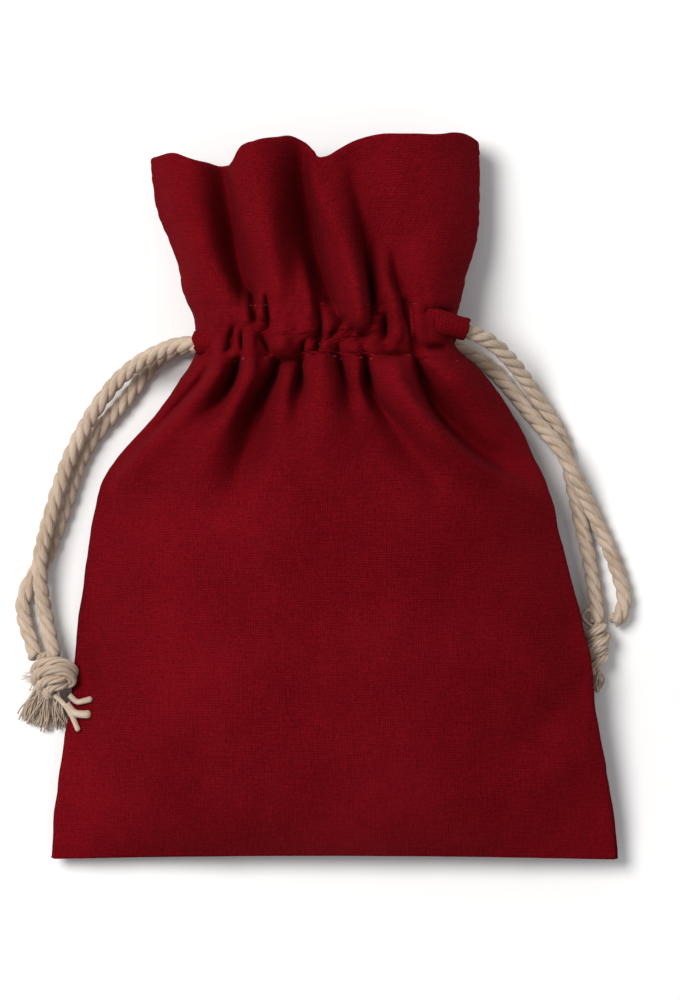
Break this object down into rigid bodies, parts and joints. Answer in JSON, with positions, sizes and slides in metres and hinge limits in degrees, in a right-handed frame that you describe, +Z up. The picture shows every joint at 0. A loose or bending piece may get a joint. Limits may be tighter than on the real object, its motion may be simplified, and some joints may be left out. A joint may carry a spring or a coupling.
{
  "type": "drawstring pouch",
  "caption": "Small cotton drawstring pouch lying on its back, its neck gathered by twisted cords that run through a stitched tunnel and end in frayed knots.",
  "frame": {"origin": "on the table, at the middle of the cloth's footprint, with the cords left out", "axes": "+X across the pouch, +Y from the bottom fold towards the mouth, +Z up, out of the front panel"},
  "size_m": [0.109, 0.1282, 0.0285],
  "materials": {
    "red_cotton": "matt plain weave with small slubs",
    "raw_cotton": "matt twisted cord, undyed"
  },
  "bodies": {
    "root": {"pouch_cloth": "red_cotton", "left_cord": "raw_cotton", "right_cord": "raw_cotton", "left_knot": "raw_cotton", "right_knot": "raw_cotton"}
  },
  "joints": []
}
